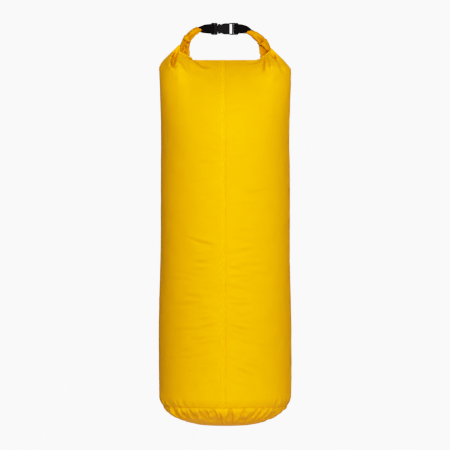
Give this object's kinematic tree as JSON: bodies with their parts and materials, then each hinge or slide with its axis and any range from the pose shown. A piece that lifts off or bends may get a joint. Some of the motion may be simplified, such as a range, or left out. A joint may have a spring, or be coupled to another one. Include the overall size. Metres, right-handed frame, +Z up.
{
  "type": "roll-top dry bag",
  "caption": "Tall round waterproof bag with a rounded base, rolled shut, its two ends buckled together above it into a carrying loop.",
  "frame": {"origin": "middle of the flat round of the base, where the bag stands", "axes": "+Z up the bag to its carrying loop, +X to the right of someone facing the front seam, +Y to the back, where the mouth is rolled"},
  "size_m": [0.2843, 0.2855, 0.8648],
  "materials": {
    "coated_cloth": "satin coated nylon",
    "thread": "matte",
    "seam_tape": "satin",
    "stiffener": "matte",
    "webbing": "matte woven",
    "bartack_thread": "matte",
    "buckle_plastic": "satin moulded"
  },
  "bodies": {
    "bag": {"body_panel": "coated_cloth", "base_panel": "coated_cloth", "front_seam": "coated_cloth", "front_seam_threads": "thread", "front_seam_tape": "seam_tape", "base_seam_tape": "seam_tape", "base_seam_thread": "thread", "middle_roll": "coated_cloth", "middle_stiffeners": "stiffener"},
    "left_arm": {"left_roll": "coated_cloth", "left_stiffeners": "stiffener", "left_shoulder_fold": "coated_cloth", "left_webbing": "webbing", "left_bartack": "bartack_thread", "male_half": "buckle_plastic"},
    "right_arm": {"right_roll": "coated_cloth", "right_stiffeners": "stiffener", "right_shoulder_fold": "coated_cloth", "right_webbing": "webbing", "right_bartack": "bartack_thread", "female_half": "buckle_plastic"},
    "upper_prong": {"upper_prong": "buckle_plastic"},
    "lower_prong": {"lower_prong": "buckle_plastic"}
  },
  "joints": [
    {"name": "left_arm_swing", "type": "hinge", "parent": "bag", "child": "left_arm", "pos_m": [-0.084, 0.0082, 0.773], "axis": [0, -1, 0], "range_deg": [0, 70], "deforming": ["left_shoulder_fold", "upper_prong", "lower_prong"]},
    {"name": "right_arm_swing", "type": "hinge", "parent": "bag", "child": "right_arm", "pos_m": [0.084, 0.0082, 0.773], "axis": [0, -1, 0], "range_deg": [-70, 0], "deforming": ["right_shoulder_fold"]},
    {"name": "upper_prong_squeeze", "type": "hinge", "parent": "left_arm", "child": "upper_prong", "pos_m": [-0.0152, 0.0082, 0.8579], "axis": [0, 1, 0], "range_deg": [0, 14], "stiffness_Nm_per_rad": 0.04},
    {"name": "lower_prong_squeeze", "type": "hinge", "parent": "left_arm", "child": "lower_prong", "pos_m": [-0.0152, 0.0082, 0.8457], "axis": [0, 1, 0], "range_deg": [-14, 0], "stiffness_Nm_per_rad": 0.04}
  ],
  "couplings": [
    {"joint": "right_arm_swing", "follows": "left_arm_swing", "ratio": -1},
    {"joint": "lower_prong_squeeze", "follows": "upper_prong_squeeze", "ratio": -1}
  ]
}
